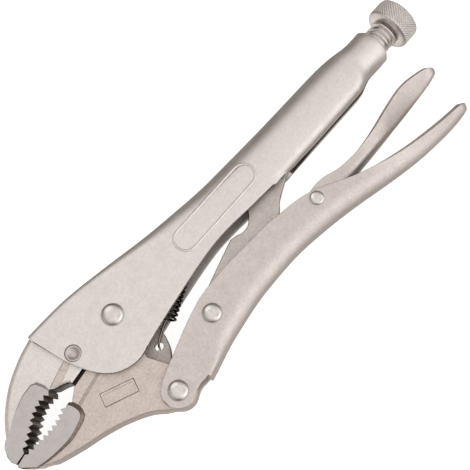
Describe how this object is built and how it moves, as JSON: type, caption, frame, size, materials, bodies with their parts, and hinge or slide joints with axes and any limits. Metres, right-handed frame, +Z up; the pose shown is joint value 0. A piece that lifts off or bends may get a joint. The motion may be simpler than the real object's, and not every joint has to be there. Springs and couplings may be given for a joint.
{
  "type": "locking pliers",
  "caption": "Curved-jaw locking pliers with a wire cutter: a toggle-locking lower handle, a release lever and an adjusting screw with a knurled knob.",
  "frame": {"origin": "middle of the footprint of the tool lying flat and locked shut, on the surface that it lies on", "axes": "+X from the jaws to the adjusting screw, +Y from the lower handle to the upper handle, +Z up out of the upper flat side, along all the rivets"},
  "size_m": [0.2504, 0.0748, 0.0215],
  "materials": {
    "satin_nickel": "satin nickel-plated pressed steel",
    "forged_jaw": "satin nickel-plated forging with ground gripping blocks",
    "rivet_steel": "smooth plated rivet heads",
    "screw_steel": "plated, machined and knurled",
    "spring_wire": "black oil-tempered wire"
  },
  "bodies": {
    "frame": {"upper_handle": "satin_nickel", "fixed_jaw": "forged_jaw", "fixed_jaw_plug": "satin_nickel", "jaw_pivot_rivet": "rivet_steel", "return_spring": "spring_wire"},
    "jaw": {"moving_jaw": "forged_jaw"},
    "handle": {"lower_handle": "satin_nickel", "handle_pivot_rivet": "rivet_steel", "link_rivet": "rivet_steel", "lever_rivet": "rivet_steel"},
    "link": {"toggle_link": "satin_nickel"},
    "lever": {"release_lever": "satin_nickel"},
    "screw": {"adjusting_screw": "screw_steel"},
    "knob": {"screw_knob": "screw_steel"}
  },
  "joints": [
    {"name": "handle_fold", "type": "hinge", "parent": "jaw", "child": "handle", "pos_m": [-0.06295, -0.02305, 0.01075], "axis": [0, 0, 1], "range_deg": [-50, 0]},
    {"name": "jaw_open", "type": "hinge", "parent": "frame", "child": "jaw", "pos_m": [-0.05775, 0.01705, 0.01075], "axis": [0, 0, 1], "range_deg": [0, 14], "deforming": ["return_spring"]},
    {"name": "link_fold", "type": "hinge", "parent": "handle", "child": "link", "pos_m": [-0.03135, -0.01295, 0.01075], "axis": [0, 0, 1], "range_deg": [0, 51.3]},
    {"name": "lever_press", "type": "hinge", "parent": "handle", "child": "lever", "pos_m": [0.03285, -0.01425, 0.01075], "axis": [0, 0, 1], "range_deg": [-12, 0]},
    {"name": "knob_turn", "type": "hinge", "parent": "screw", "child": "knob", "pos_m": [0.12025, 0.01335, 0.01075], "axis": [1, 0, 0], "range_deg": [0, 5165]},
    {"name": "screw_travel", "type": "slide", "parent": "frame", "child": "screw", "axis": [1, 0, 0], "range_m": [0, 0.028]}
  ],
  "couplings": [
    {"joint": "jaw_open", "follows": "handle_fold", "ratio": -0.28},
    {"joint": "link_fold", "follows": "handle_fold", "ratio": -1.0256},
    {"joint": "knob_turn", "follows": "screw_travel", "rad_per_m": 3215.6}
  ]
}
